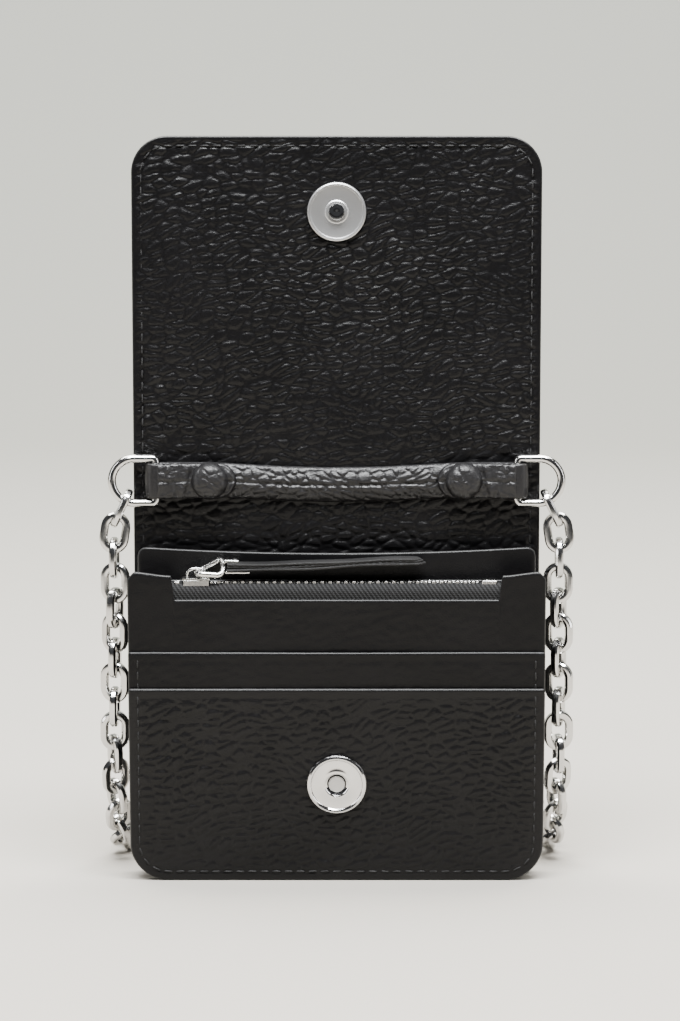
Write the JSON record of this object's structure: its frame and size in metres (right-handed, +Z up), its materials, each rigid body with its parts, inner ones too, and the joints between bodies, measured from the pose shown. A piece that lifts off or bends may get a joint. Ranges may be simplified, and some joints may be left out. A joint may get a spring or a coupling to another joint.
{
  "type": "chain wallet",
  "caption": "Small leather wallet standing open, with a fold-over flap, magnetic snap, zip coin pocket, card slots and a long metal chain on two D-rings.",
  "frame": {"origin": "middle of the base strip, on the surface the wallet stands on", "axes": "+X across to the right seen from the front, -Y out of the front, +Z up the standing wallet"},
  "size_m": [0.1296, 0.0881, 0.2027],
  "materials": {
    "leather_outer": "coarse pebbled grain, low sheen",
    "leather_smooth": "finer grain, low sheen",
    "leather_lining": "coarse pebbled grain, low sheen",
    "leather_strap": "grained, soft sheen",
    "zip_tape": "woven twill",
    "zip_metal": "bright, lightly brushed",
    "snap_polished": "mirror polish",
    "snap_satin": "satin",
    "magnet": "dull plating",
    "ring_metal": "polished",
    "chain_metal": "polished with flat cut sides"
  },
  "bodies": {
    "wallet": {"back_panel_outer": "leather_outer", "back_panel_lining": "leather_lining", "gusset_strip": "leather_smooth", "divider_panel": "leather_smooth", "coin_pocket_back": "leather_lining", "front_wall": "leather_smooth", "card_slot_panel": "leather_smooth", "front_pocket_panel": "leather_outer", "zip_tape_front": "zip_tape", "zip_tape_rear": "zip_tape", "zip_teeth_front": "zip_metal", "zip_teeth_rear": "zip_metal", "zip_bottom_stop": "zip_metal", "zip_top_stops": "zip_metal", "snap_female_cover": "snap_polished", "snap_female_magnet": "magnet", "snap_female_button": "snap_satin", "snap_female_backplate": "snap_satin", "chain_run_left": "chain_metal", "chain_run_right": "chain_metal", "chain_hank": "chain_metal", "chain_tie": "leather_strap"},
    "spine": {"spine_outer": "leather_outer", "spine_lining": "leather_lining", "strap_band": "leather_strap", "strap_loop_left": "leather_strap", "strap_loop_right": "leather_strap", "press_stud_left": "ring_metal", "press_stud_right": "ring_metal"},
    "flap": {"flap_outer": "leather_outer", "flap_lining": "leather_lining", "snap_male_plate": "snap_satin", "snap_male_stud": "snap_polished", "snap_male_backplate": "snap_satin"},
    "ring_left": {"d_ring_left": "ring_metal", "joining_link_left": "chain_metal"},
    "ring_right": {"d_ring_right": "ring_metal", "joining_link_right": "chain_metal"},
    "tab_left": {"strap_tab_left": "leather_strap", "press_socket_left": "ring_metal", "press_cap_left": "leather_strap"},
    "tab_right": {"strap_tab_right": "leather_strap", "press_socket_right": "ring_metal", "press_cap_right": "leather_strap"},
    "slider": {"zip_slider": "zip_metal", "slider_bail": "zip_metal"},
    "pull": {"zip_pull_link": "zip_metal", "puller_strip": "leather_strap", "puller_rivet": "zip_metal"}
  },
  "joints": [
    {"name": "spine_fold", "type": "hinge", "parent": "wallet", "child": "spine", "pos_m": [0, 0.0032, 0.0956], "axis": [1, 0, 0], "range_deg": [0, 90]},
    {"name": "flap_fold", "type": "hinge", "parent": "spine", "child": "flap", "pos_m": [0, 0.0019, 0.1159], "axis": [1, 0, 0], "range_deg": [0, 95.5]},
    {"name": "ring_left_swing", "type": "hinge", "parent": "spine", "child": "ring_left", "pos_m": [-0.0492, 0.00065, 0.10955], "axis": [0, 0, 1], "range_deg": [-6, 20]},
    {"name": "ring_right_swing", "type": "hinge", "parent": "spine", "child": "ring_right", "pos_m": [0.0492, 0.00065, 0.10955], "axis": [0, 0, -1], "range_deg": [-6, 20]},
    {"name": "tab_left_unsnap", "type": "hinge", "parent": "spine", "child": "tab_left", "pos_m": [-0.046, -0.002, 0.1097], "axis": [0, 0, 1], "range_deg": [-75, 0]},
    {"name": "tab_right_unsnap", "type": "hinge", "parent": "spine", "child": "tab_right", "pos_m": [0.046, -0.002, 0.1097], "axis": [0, 0, -1], "range_deg": [-75, 0]},
    {"name": "zip_slide", "type": "slide", "parent": "wallet", "child": "slider", "axis": [-1, 0, 0], "range_m": [-0.073, 0]},
    {"name": "pull_lift", "type": "hinge", "parent": "slider", "child": "pull", "pos_m": [-0.038, -0.0069, 0.0854], "axis": [0, 1, 0], "range_deg": [-110, 0]}
  ],
  "couplings": [
    {"joint": "flap_fold", "follows": "spine_fold", "ratio": 1.0611}
  ]
}
